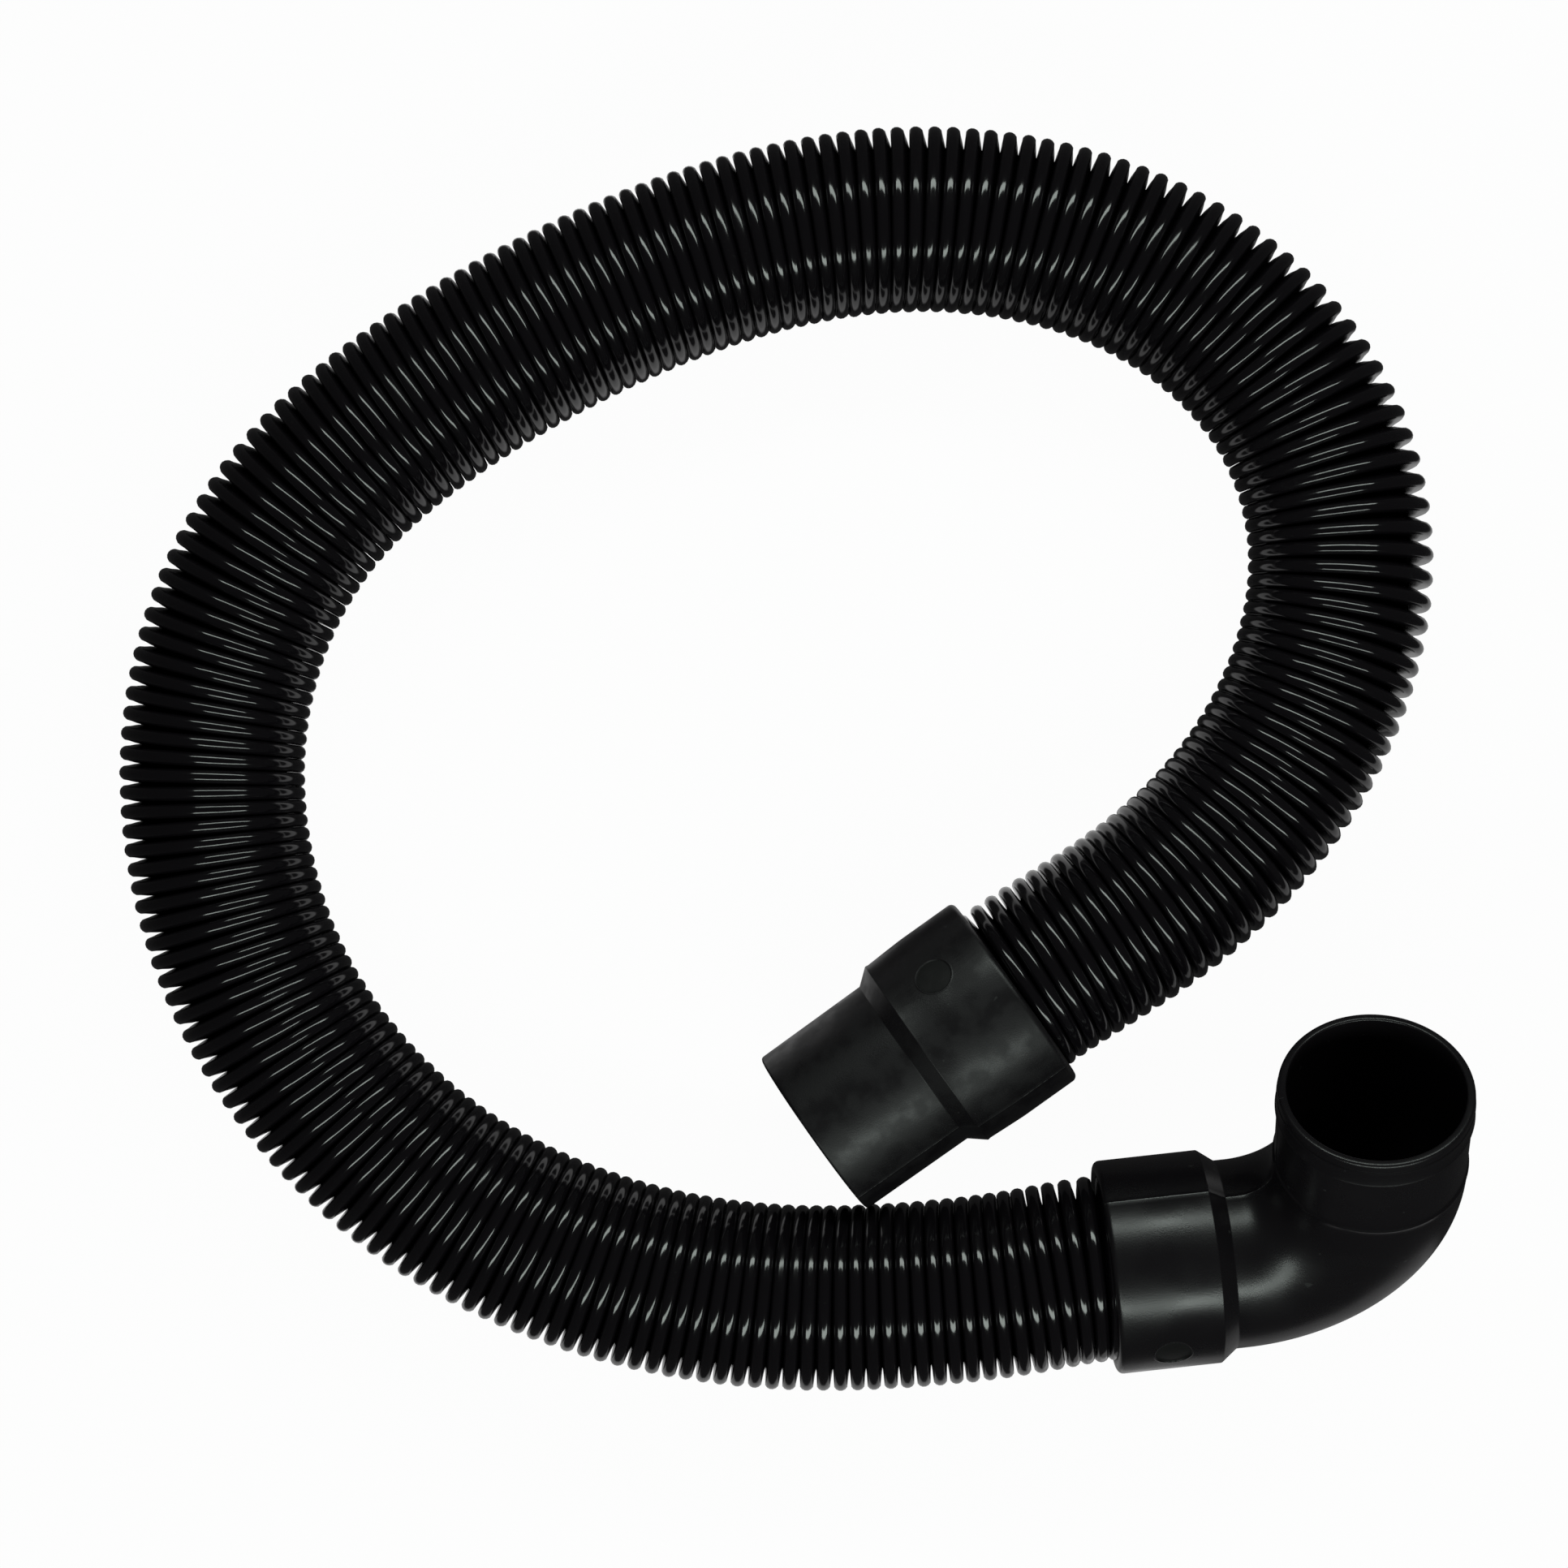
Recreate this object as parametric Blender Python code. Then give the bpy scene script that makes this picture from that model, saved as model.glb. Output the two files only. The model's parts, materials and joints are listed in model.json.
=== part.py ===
"""Suction hose of a floor cleaner: a corrugated hose between a straight cuff and an elbow cuff.

It lies on the floor in one loose loop, as it comes to rest. Lengths are in metres, +Z is up and
z = 0 is the floor. The origin is on the floor, in the middle of the box round the two cuffs.
"""

import math

import bmesh
import bpy
import numpy as np
from mathutils import Matrix, Vector

# Hose: a thin tube with one rib that winds round it like a left-handed screw
HOSE_BORE = 0.035
HOSE_WALL = 0.0009  # at the bottom of the groove
RIB_HEIGHT = 0.0056
RELAXED_PITCH = 0.00405
CLOSED_PITCH = 0.0035  # where neighbouring turns of the rib touch, on the inside of a bend
HOSE_SIDES = 12
BORE_RING = 0.012  # between the rings of points along the bore
HOSE_RADIUS = HOSE_BORE / 2 + HOSE_WALL + RIB_HEIGHT

# Fit of the hose in its cuffs
SEAT_GAP = 0.0003
SOCKET_DEPTH = 0.025
SOCKET_LEAD = 0.0008  # bevel at the mouth of each socket
COLLAR_ROUND = 0.0018  # rounded edge of each collar's face
SOCKET_RADIUS = HOSE_RADIUS + SEAT_GAP
SOCKET_END = SOCKET_DEPTH + SEAT_GAP

# Straight cuff
STRAIGHT_COLLAR_WALL = 0.0036
STRAIGHT_COLLAR_LENGTH = 0.0283
STRAIGHT_COLLAR_DRAFT = 0.0005  # how far the collar's radius falls over its second half
STRAIGHT_SLOPE = 0.0042  # length of the cone from the collar down to the spigot
SPIGOT_RADIUS = 0.0241  # where it leaves the cone
SPIGOT_DRAFT = 0.00025
SPIGOT_LENGTH = 0.0318
SPIGOT_WALL = 0.0026
SPIGOT_ROUND = 0.0009
STRAIGHT_COLLAR_RADIUS = SOCKET_RADIUS + STRAIGHT_COLLAR_WALL

# Elbow cuff
ELBOW_COLLAR_WALL = 0.0033
ELBOW_COLLAR_LENGTH = 0.027
ELBOW_SLOPE = 0.0042
NECK_RADIUS = 0.0244
NECK_LENGTH = 0.0029
ELBOW_WALL = 0.0022
BEND_RADIUS = 0.0339  # of the middle line
BEND_ANGLE = math.radians(89)
LEG_LENGTH = 0.029
LEG_STEP = 0.0265  # from the mouth back to the shallow step at the end of the bend
WAIST_DROP = 0.0002
BAND_LENGTH = 0.0076  # the thicker band round the mouth
BAND_RISE = 0.0004
MOUTH_ROUND = 0.0008
ELBOW_LEAN = math.radians(43.7)  # how far the leg leans from upright
ELBOW_COLLAR_RADIUS = SOCKET_RADIUS + ELBOW_COLLAR_WALL

CUFF_SIDES = 28
BEND_RINGS = 8

# How the hose lies: its middle line from the face of the straight cuff to the face of the elbow
ROUTE = [
    (-0.0233, 0.0390), (-0.0046, 0.0511), (0.0125, 0.0625), (0.0314, 0.0793),
    (0.0484, 0.1024), (0.0582, 0.1259), (0.0618, 0.1488), (0.0594, 0.1700),
    (0.0502, 0.1922), (0.0339, 0.2116), (0.0098, 0.2276), (-0.0187, 0.2370),
    (-0.0487, 0.2398), (-0.0804, 0.2362), (-0.1128, 0.2265), (-0.1450, 0.2120),
    (-0.1768, 0.1928), (-0.2071, 0.1663), (-0.2256, 0.1344), (-0.2324, 0.1002),
    (-0.2297, 0.0685), (-0.2199, 0.0398), (-0.2024, 0.0131), (-0.1787, -0.0093),
    (-0.1496, -0.0261), (-0.1151, -0.0372), (-0.0805, -0.0414), (-0.0466, -0.0401),
    (-0.0213, -0.0369), (0.0000, -0.0332),
]
FIRST_HEADING = math.radians(35.5)  # out of the straight cuff, from +X towards +Y
LAST_HEADING = math.radians(6.3)  # into the elbow
RISE_LENGTH = 0.10  # over which the hose climbs from the floor into a collar
LINE_STEP = 0.001

HOSE_BLACK = (0.012, 0.013, 0.012, 1.0)
CUFF_BLACK = (0.016, 0.017, 0.016, 1.0)


def material(name, colour, roughness):
    """A plain plastic."""
    made = bpy.data.materials.new(name)
    made.use_nodes = True
    shader = made.node_tree.nodes["Principled BSDF"]
    shader.inputs["Base Color"].default_value = colour
    shader.inputs["Roughness"].default_value = roughness
    shader.inputs["Metallic"].default_value = 0.0
    return made


def heading(angle):
    """A level direction."""
    return np.array((math.cos(angle), math.sin(angle), 0.0))


def spline(points, first, last):
    """A smooth curve through the points, with a given direction at each end, in short steps."""
    points = np.array(points)
    span = np.linalg.norm(np.diff(points, axis=0), axis=1)
    count = len(points)
    matrix = np.eye(count)
    known = np.zeros((count, 2))
    known[0], known[-1] = first, last
    for i in range(1, count - 1):
        before, after = span[i - 1], span[i]
        matrix[i, i - 1 : i + 2] = after, 2 * (before + after), before
        known[i] = 3 * (
            after / before * (points[i] - points[i - 1])
            + before / after * (points[i + 1] - points[i])
        )
    slope = np.linalg.solve(matrix, known)
    line = []
    for i, length in enumerate(span):
        for part in np.linspace(0, 1, max(2, round(length / LINE_STEP)), endpoint=False):
            start = (1 + 2 * part) * (1 - part) ** 2 * points[i]
            end = part**2 * (3 - 2 * part) * points[i + 1]
            leave = part * (1 - part) ** 2 * length * slope[i]
            arrive = part**2 * (part - 1) * length * slope[i + 1]
            line.append(start + end + leave + arrive)
    line.append(points[-1])
    return np.array(line)


def way_along(line):
    """How far along the line each of its points is."""
    return np.concatenate(([0.0], np.cumsum(np.linalg.norm(np.diff(line, axis=0), axis=1))))


def smooth_step(share):
    """0 to 1, level at both ends."""
    share = np.clip(share, 0.0, 1.0)
    return share * share * (3 - 2 * share)


def hose_line():
    """The middle line of the hose, with its straight ends inside both cuffs."""
    first, last = heading(FIRST_HEADING), heading(LAST_HEADING)
    flat = spline(ROUTE, first[:2], last[:2])
    way = way_along(flat)
    lift_first = STRAIGHT_COLLAR_RADIUS - HOSE_RADIUS
    lift_last = ELBOW_COLLAR_RADIUS - HOSE_RADIUS
    height = (
        HOSE_RADIUS
        + lift_first * smooth_step(1 - way / RISE_LENGTH)
        + lift_last * smooth_step(1 - (way[-1] - way) / RISE_LENGTH)
    )
    open_part = np.column_stack((flat, height))
    inside = np.arange(SOCKET_DEPTH, 0, -LINE_STEP)
    start = open_part[0] - np.outer(inside, first)
    end = open_part[-1] + np.outer(inside[::-1], last)
    return np.vstack((start, open_part, end))


def lay_along(bm, line, up, way):
    """Carries what was turned about Z onto a line: a point's z is looked up in way."""
    length = way_along(line)
    ahead = np.gradient(line, length, axis=0)
    spots = np.array([vert.co for vert in bm.verts])

    def at(values):
        return np.column_stack([np.interp(spots[:, 2], way, values[:, i]) for i in range(3)])

    forward = at(ahead)
    forward /= np.linalg.norm(forward, axis=1)[:, None]
    side = np.cross(up, forward)
    side /= np.linalg.norm(side, axis=1)[:, None]
    top = np.cross(forward, side)
    laid = at(line) + side * spots[:, :1] + top * spots[:, 1:2]
    for vert, spot in zip(bm.verts, laid):
        vert.co = spot


def outline(bm, points, closed):
    """The edges of a profile in the XZ plane, given as (z, radius) pairs."""
    verts = [bm.verts.new((radius, 0.0, z)) for z, radius in points]
    ends = verts[1:] + verts[:1] if closed else verts[1:]
    return [bm.edges.new(pair) for pair in zip(verts, ends)]


def quarter(z, radius, size, start):
    """Three points of a rounded corner about (z, radius), from start by a quarter turn."""
    turns = [start - math.radians(45) * i for i in range(3)]
    return [(z + size * math.cos(a), radius + size * math.sin(a)) for a in turns]


def turned(profile, sides):
    """A closed profile turned once about Z."""
    bm = bmesh.new()
    edges = outline(bm, profile, closed=True)
    geom = list(bm.verts) + edges
    bmesh.ops.spin(bm, geom=geom, cent=(0, 0, 0), axis=(0, 0, 1), angle=math.tau, steps=sides,
                   use_merge=True)
    return bm


def finished(bm, name, look, angle):
    """Makes the named object, with its faces pointing out. Edges sharper than angle stay crisp."""
    bmesh.ops.recalc_face_normals(bm, faces=bm.faces)
    if bm.calc_volume(signed=True) < 0:
        bmesh.ops.reverse_faces(bm, faces=bm.faces)
    mesh = bpy.data.meshes.new(name)
    bm.to_mesh(mesh)
    bm.free()
    mesh.shade_smooth()
    mesh.set_sharp_from_angle(angle=angle)
    mesh.materials.append(look)
    made = bpy.data.objects.new(name, mesh)
    bpy.context.collection.objects.link(made)
    return made


def place(thing, spot, x_axis, z_axis):
    """Moves and turns an object so that its own X and Z point along the given axes."""
    x_axis, z_axis = Vector(x_axis), Vector(z_axis)
    turn = Matrix((x_axis, z_axis.cross(x_axis), z_axis)).transposed()
    thing.location = spot
    thing.rotation_euler = turn.to_euler()


def stretched(line):
    """The relaxed length of hose that reaches each point of the line.

    On the inside of a bend the ribs close up until they touch, and a tighter bend then pulls the
    middle line longer.
    """
    length = way_along(line)
    ahead = np.gradient(line, length, axis=0)
    bend = np.linalg.norm(np.gradient(ahead, length, axis=0), axis=1)
    pitch = np.maximum(RELAXED_PITCH, CLOSED_PITCH / (1 - HOSE_RADIUS * bend))
    share = RELAXED_PITCH / pitch
    steps = np.diff(length) * (share[1:] + share[:-1]) / 2
    return np.concatenate(([0.0], np.cumsum(steps)))


def corrugated_hose(look):
    """The rib is one zigzag spun as a screw, cut flat at both ends, with a smooth bore inside."""
    line = hose_line()
    relaxed = stretched(line)
    length = relaxed[-1]
    root = HOSE_BORE / 2 + HOSE_WALL
    turns = math.ceil(length / RELAXED_PITCH) + 2
    bm = bmesh.new()
    zigzag = [(-RELAXED_PITCH * share, radius)
              for share, radius in ((1.0, HOSE_RADIUS), (0.5, root), (0.0, HOSE_RADIUS))]
    geom = outline(bm, zigzag, closed=False) + list(bm.verts)
    bmesh.ops.spin(bm, geom=geom, cent=(0, 0, 0), axis=(0, 0, 1), angle=-math.tau * turns,
                   steps=HOSE_SIDES * turns, dvec=(0, 0, RELAXED_PITCH / HOSE_SIDES))
    bmesh.ops.remove_doubles(bm, verts=bm.verts, dist=RELAXED_PITCH / 100)
    for z, out in ((0.0, -1.0), (length, 1.0)):
        geom = list(bm.verts) + list(bm.edges) + list(bm.faces)
        bmesh.ops.bisect_plane(bm, geom=geom, dist=1e-6, plane_co=(0, 0, z),
                               plane_no=(0, 0, out), clear_outer=True)

    rings = round(length / BORE_RING)
    bore = [(length * i / rings, HOSE_BORE / 2) for i in range(rings + 1)]
    first = len(bm.verts)
    edges = outline(bm, bore, closed=False)
    bm.verts.ensure_lookup_table()
    bmesh.ops.spin(bm, geom=bm.verts[first:] + edges, cent=(0, 0, 0), axis=(0, 0, 1),
                   angle=math.tau, steps=HOSE_SIDES, use_merge=True)
    for z in (0.0, length):
        rim = [e for e in bm.edges
               if e.is_boundary and all(abs(v.co.z - z) < 1e-5 for v in e.verts)]
        bmesh.ops.triangle_fill(bm, edges=rim, use_beauty=True)
    lay_along(bm, line, (0, 0, 1), relaxed)
    return finished(bm, "corrugated_hose", look, math.radians(80))


def socket():
    """The bore for the hose, from its stop back to its mouth, as (z, radius) pairs."""
    return [
        (SOCKET_END, SOCKET_RADIUS),
        (SOCKET_LEAD, SOCKET_RADIUS),
        (0.0, SOCKET_RADIUS + SOCKET_LEAD),
    ]


def straight_cuff(look):
    """A turned collar for the hose with a tapered spigot in front, modelled about its own Z."""
    collar = STRAIGHT_COLLAR_RADIUS
    cone = STRAIGHT_COLLAR_LENGTH + STRAIGHT_SLOPE
    end = cone + SPIGOT_LENGTH
    tip = SPIGOT_RADIUS - SPIGOT_DRAFT
    profile = [
        *quarter(COLLAR_ROUND, collar - COLLAR_ROUND, COLLAR_ROUND, math.pi),
        (STRAIGHT_COLLAR_LENGTH * 0.6, collar),
        (STRAIGHT_COLLAR_LENGTH, collar - STRAIGHT_COLLAR_DRAFT),
        (cone, SPIGOT_RADIUS),
        *quarter(end - SPIGOT_ROUND, tip - SPIGOT_ROUND, SPIGOT_ROUND, math.radians(90)),
        (end, SPIGOT_RADIUS - SPIGOT_WALL),
        (SOCKET_END, SPIGOT_RADIUS - SPIGOT_WALL),
        *socket(),
    ]
    made = finished(turned(profile, CUFF_SIDES), "straight_cuff", look, math.radians(30))
    line = hose_line()
    face = Vector(line[0]) + Vector(heading(FIRST_HEADING)) * SOCKET_DEPTH
    place(made, face, (0, 0, 1), -heading(FIRST_HEADING))
    return made


def elbow_line():
    """The middle line of the elbow: up its own Z, round the bend, and out along its leg."""
    straight = ELBOW_COLLAR_LENGTH + ELBOW_SLOPE + NECK_LENGTH
    turn = np.linspace(0, BEND_ANGLE, 3 * BEND_RINGS + 1)
    bend = np.column_stack((
        BEND_RADIUS * (1 - np.cos(turn)),
        np.zeros_like(turn),
        straight + BEND_RADIUS * np.sin(turn),
    ))
    ahead = np.array((math.sin(BEND_ANGLE), 0.0, math.cos(BEND_ANGLE)))
    inlet = np.column_stack((np.zeros((30, 2)), np.linspace(0, straight, 30, endpoint=False)))
    leg = bend[-1] + np.outer(np.linspace(0, LEG_LENGTH, 30)[1:], ahead)
    return np.vstack((inlet, bend, leg))


def elbow_cuff(look):
    """Turned straight, like the other cuff, and then bent along its middle line."""
    line = elbow_line()
    way = way_along(line)
    end = way[-1]
    collar = ELBOW_COLLAR_RADIUS
    slope_end = ELBOW_COLLAR_LENGTH + ELBOW_SLOPE
    bend_start = slope_end + NECK_LENGTH
    step = end - LEG_STEP
    waist = NECK_RADIUS - WAIST_DROP
    band = waist + BAND_RISE
    profile = [
        *quarter(COLLAR_ROUND, collar - COLLAR_ROUND, COLLAR_ROUND, math.pi),
        (ELBOW_COLLAR_LENGTH, collar),
        (slope_end, NECK_RADIUS),
        (step, NECK_RADIUS),
        (step + WAIST_DROP, waist),
        (end - BAND_LENGTH - BAND_RISE, waist),
        (end - BAND_LENGTH, band),
        *quarter(end - MOUTH_ROUND, band - MOUTH_ROUND, MOUTH_ROUND, math.radians(90)),
        (end, NECK_RADIUS - ELBOW_WALL),
        (SOCKET_END, NECK_RADIUS - ELBOW_WALL),
        *socket(),
    ]
    bm = turned(profile, CUFF_SIDES)
    for i in range(BEND_RINGS + 1):
        geom = list(bm.verts) + list(bm.edges) + list(bm.faces)
        cut = bend_start + BEND_RADIUS * BEND_ANGLE * i / BEND_RINGS
        bmesh.ops.bisect_plane(bm, geom=geom, dist=1e-6, plane_co=(0, 0, cut),
                               plane_no=(0, 0, 1))
    lay_along(bm, line, (0, 1, 0), way)
    made = finished(bm, "elbow_cuff", look, math.radians(30))
    inlet = heading(LAST_HEADING)
    across = heading(LAST_HEADING + math.radians(90))
    leg = across * math.sin(ELBOW_LEAN) + np.array((0.0, 0.0, math.cos(ELBOW_LEAN)))
    face = Vector(hose_line()[-1]) - Vector(inlet) * SOCKET_DEPTH
    place(made, face, leg, inlet)
    return made


def main():
    for thing in list(bpy.data.objects):
        bpy.data.objects.remove(thing)
    hose_look = material("hose_plastic", HOSE_BLACK, 0.25)
    cuff_look = material("cuff_plastic", CUFF_BLACK, 0.45)
    corrugated_hose(hose_look)
    straight_cuff(cuff_look)
    elbow_cuff(cuff_look)


main()
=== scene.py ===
# %% [markdown]
# # A corrugated suction hose with its two cuffs
# The real thing is an extruded black hose with one rib that winds round it like a screw, and a
# moulded cuff bonded onto each end: a straight one that tapers into a spigot, and a right-angled
# elbow. It lies on a white floor and the camera looks straight down on it.
#
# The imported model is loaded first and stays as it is. Every new piece is made in the same place,
# so this script repeats the few sizes and the route that the model was made from.

# %% Load the fixed model
import json
import math

import bmesh
import bpy
import numpy as np
from mathutils import Matrix, Vector

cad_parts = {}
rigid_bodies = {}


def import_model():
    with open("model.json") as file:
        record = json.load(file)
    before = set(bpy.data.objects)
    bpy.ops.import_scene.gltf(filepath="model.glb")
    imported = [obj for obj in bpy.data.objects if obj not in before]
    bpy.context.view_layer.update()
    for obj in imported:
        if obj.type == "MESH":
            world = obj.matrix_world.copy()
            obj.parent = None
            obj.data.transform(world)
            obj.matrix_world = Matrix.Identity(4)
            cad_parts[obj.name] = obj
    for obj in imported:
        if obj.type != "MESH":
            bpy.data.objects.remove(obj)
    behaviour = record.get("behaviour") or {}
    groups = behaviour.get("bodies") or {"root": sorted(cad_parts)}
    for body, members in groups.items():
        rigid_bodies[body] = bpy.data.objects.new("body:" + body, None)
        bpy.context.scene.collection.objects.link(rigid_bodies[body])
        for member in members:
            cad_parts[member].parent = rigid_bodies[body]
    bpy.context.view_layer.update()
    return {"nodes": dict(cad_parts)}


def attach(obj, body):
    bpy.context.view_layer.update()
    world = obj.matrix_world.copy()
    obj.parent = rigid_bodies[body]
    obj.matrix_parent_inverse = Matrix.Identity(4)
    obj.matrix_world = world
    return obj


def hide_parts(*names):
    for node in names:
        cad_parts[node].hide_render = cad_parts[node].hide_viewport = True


for thing in list(bpy.data.objects):
    bpy.data.objects.remove(thing)
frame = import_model()
scene = bpy.context.scene
print("nodes:", sorted(frame["nodes"]))

# %% [markdown]
# ## Camera
# The photograph looks straight down, so the ellipses of both cuffs' edges give the distance: the
# middle of the elbow's mouth is 73 mm above the floor and shows a little larger than it is. A lens
# that sees 0.41 m across from 0.95 m above the middle of the hose fits both.

# %% Camera straight above the loop
HOSE_MIDDLE_HEIGHT = 0.024
CAMERA_HEIGHT = 0.95  # above the middle of the hose
VIEW_WIDTH = 0.4093  # what the square picture spans at that height
VIEW_MIDDLE = (-0.0834, 0.0925)
SENSOR_WIDTH = 36.0

camera_data = bpy.data.cameras.new("camera")
camera_data.sensor_width = SENSOR_WIDTH
camera_data.lens = SENSOR_WIDTH * CAMERA_HEIGHT / VIEW_WIDTH
camera = bpy.data.objects.new("camera", camera_data)
camera.location = (*VIEW_MIDDLE, HOSE_MIDDLE_HEIGHT + CAMERA_HEIGHT)
scene.collection.objects.link(camera)
scene.camera = camera
scene.view_settings.view_transform = "Standard"
print("lens", round(camera_data.lens, 1), "mm")

# %% [markdown]
# ## The way that the hose lies
# A hose is a cord: it has a fixed length and lies in one smooth curve. The points below follow its
# middle in the photograph, from the face of the straight cuff to the face of the elbow cuff. A
# cubic through the points, with a given direction at each end, bends as a springy hose does. Both
# ends run on straight into the cuffs, and rise a little, because the cuffs are thicker than the
# hose.

# %% Sizes of the hose and its route
HOSE_BORE = 0.035
HOSE_RADIUS = 0.024  # over the crests of the rib
RIB_HEIGHT = 0.0056
RELAXED_PITCH = 0.00405
CLOSED_PITCH = 0.0035  # where the turns touch
SOCKET_DEPTH = 0.025  # how far the hose goes into each cuff
STRAIGHT_COLLAR_RADIUS = 0.0279
ELBOW_COLLAR_RADIUS = 0.0276
FIRST_HEADING = math.radians(35.5)  # out of the straight cuff
LAST_HEADING = math.radians(6.3)  # into the elbow cuff
RISE_LENGTH = 0.10  # the hose climbs into each cuff over this length
LINE_STEP = 0.001
ROUTE = [
    (-0.0233, 0.0390), (-0.0046, 0.0511), (0.0125, 0.0625), (0.0314, 0.0793),
    (0.0484, 0.1024), (0.0582, 0.1259), (0.0618, 0.1488), (0.0594, 0.1700),
    (0.0502, 0.1922), (0.0339, 0.2116), (0.0098, 0.2276), (-0.0187, 0.2370),
    (-0.0487, 0.2398), (-0.0804, 0.2362), (-0.1128, 0.2265), (-0.1450, 0.2120),
    (-0.1768, 0.1928), (-0.2071, 0.1663), (-0.2256, 0.1344), (-0.2324, 0.1002),
    (-0.2297, 0.0685), (-0.2199, 0.0398), (-0.2024, 0.0131), (-0.1787, -0.0093),
    (-0.1496, -0.0261), (-0.1151, -0.0372), (-0.0805, -0.0414), (-0.0466, -0.0401),
    (-0.0213, -0.0369), (0.0000, -0.0332),
]

# %% A smooth curve through the points
def heading(angle):
    """A level direction."""
    return np.array((math.cos(angle), math.sin(angle), 0.0))


def spline(points, first, last):
    """A cubic through the points, with a given direction at each end, in short steps."""
    points = np.array(points)
    span = np.linalg.norm(np.diff(points, axis=0), axis=1)
    count = len(points)
    matrix = np.eye(count)
    known = np.zeros((count, 2))
    known[0], known[-1] = first, last
    for i in range(1, count - 1):
        before, after = span[i - 1], span[i]
        matrix[i, i - 1 : i + 2] = after, 2 * (before + after), before
        known[i] = 3 * (
            after / before * (points[i] - points[i - 1])
            + before / after * (points[i + 1] - points[i])
        )
    slope = np.linalg.solve(matrix, known)
    line = []
    for i, length in enumerate(span):
        for part in np.linspace(0, 1, max(2, round(length / LINE_STEP)), endpoint=False):
            start = (1 + 2 * part) * (1 - part) ** 2 * points[i]
            end = part**2 * (3 - 2 * part) * points[i + 1]
            leave = part * (1 - part) ** 2 * length * slope[i]
            arrive = part**2 * (part - 1) * length * slope[i + 1]
            line.append(start + end + leave + arrive)
    line.append(points[-1])
    return np.array(line)


def way_along(line):
    """How far along the line each of its points is."""
    return np.concatenate(([0.0], np.cumsum(np.linalg.norm(np.diff(line, axis=0), axis=1))))


def smooth_step(share):
    """0 to 1, level at both ends."""
    share = np.clip(share, 0.0, 1.0)
    return share * share * (3 - 2 * share)


# %% The middle line of the hose
def hose_line():
    """The middle line, with its straight ends inside both cuffs."""
    first, last = heading(FIRST_HEADING), heading(LAST_HEADING)
    flat = spline(ROUTE, first[:2], last[:2])
    way = way_along(flat)
    height = (
        HOSE_RADIUS
        + (STRAIGHT_COLLAR_RADIUS - HOSE_RADIUS) * smooth_step(1 - way / RISE_LENGTH)
        + (ELBOW_COLLAR_RADIUS - HOSE_RADIUS) * smooth_step(1 - (way[-1] - way) / RISE_LENGTH)
    )
    open_part = np.column_stack((flat, height))
    inside = np.arange(SOCKET_DEPTH, 0, -LINE_STEP)
    start = open_part[0] - np.outer(inside, first)
    end = open_part[-1] + np.outer(inside[::-1], last)
    return np.vstack((start, open_part, end))


middle = hose_line()
middle_way = way_along(middle)
straight_face = middle[0] + heading(FIRST_HEADING) * SOCKET_DEPTH
elbow_face = middle[-1] - heading(LAST_HEADING) * SOCKET_DEPTH
print("the hose is", round(middle_way[-1], 4), "m long")

# %% [markdown]
# ## How the pitch follows the bend
# The rib is wound at a pitch of 4.05 mm. In a bend the turns spread on the outside and close up on
# the inside, where they touch at 3.5 mm. A tighter bend than that can only pull the middle line
# longer. So the hose is first made straight, and its length then is what this rule gives.

# %% Bend and stretch along the line
middle_ahead = np.gradient(middle, middle_way, axis=0)
bend_vector = np.gradient(middle_ahead, middle_way, axis=0)
bend = np.linalg.norm(bend_vector, axis=1)
pitch = np.maximum(RELAXED_PITCH, CLOSED_PITCH / (1 - HOSE_RADIUS * bend))
shrink = RELAXED_PITCH / pitch
relaxed_way = np.concatenate((
    [0.0], np.cumsum(np.diff(middle_way) * (shrink[1:] + shrink[:-1]) / 2)
))
RELAXED_LENGTH = relaxed_way[-1]
print("pulled straight and relaxed:", round(RELAXED_LENGTH, 4), "m,",
      round(RELAXED_LENGTH / RELAXED_PITCH, 1), "turns")

# %% [markdown]
# ## The rib
# On the real hose the rib is a hollow fold with a round crest and nearly upright sides, and the
# groove between two turns narrows to a crease. Its section is drawn once, spun through one turn as
# a screw, and that turn is copied and shifted, twice as many each time. A Screw modifier could do
# it in one go, but the doubling keeps a count of the turns and runs in a moment.

# %% Section of the rib
CREST_ROUND = 0.00195  # radius of the crest
CREST_POINTS = 6
CREST_REACH = math.radians(60)  # how far the round goes down each side
FLANK = [(0.00175, 0.0020), (0.00182, 0.0036)]  # half width of the rib at two depths
STEPS_PER_TURN = 38
ROOT_RADIUS = HOSE_RADIUS - RIB_HEIGHT


def rib_section():
    """Half a groove, the rib and half a groove, as (z, radius) pairs."""
    crest = [
        (CREST_ROUND * math.sin(turn), HOSE_RADIUS - CREST_ROUND * (1 - math.cos(turn)))
        for turn in np.linspace(-CREST_REACH, CREST_REACH, CREST_POINTS)
    ]
    flank = [(half, HOSE_RADIUS - depth) for half, depth in FLANK]
    root = (RELAXED_PITCH / 2, ROOT_RADIUS)
    far_side = [*flank, root]
    near_side = [(-z, radius) for z, radius in reversed(far_side)]
    return [*near_side, *crest, *far_side]


def outline(bm, points, closed):
    """The edges of a profile in the XZ plane, given as (z, radius) pairs."""
    verts = [bm.verts.new((radius, 0.0, z)) for z, radius in points]
    ends = verts[1:] + verts[:1] if closed else verts[1:]
    return [bm.edges.new(pair) for pair in zip(verts, ends)]


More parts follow.
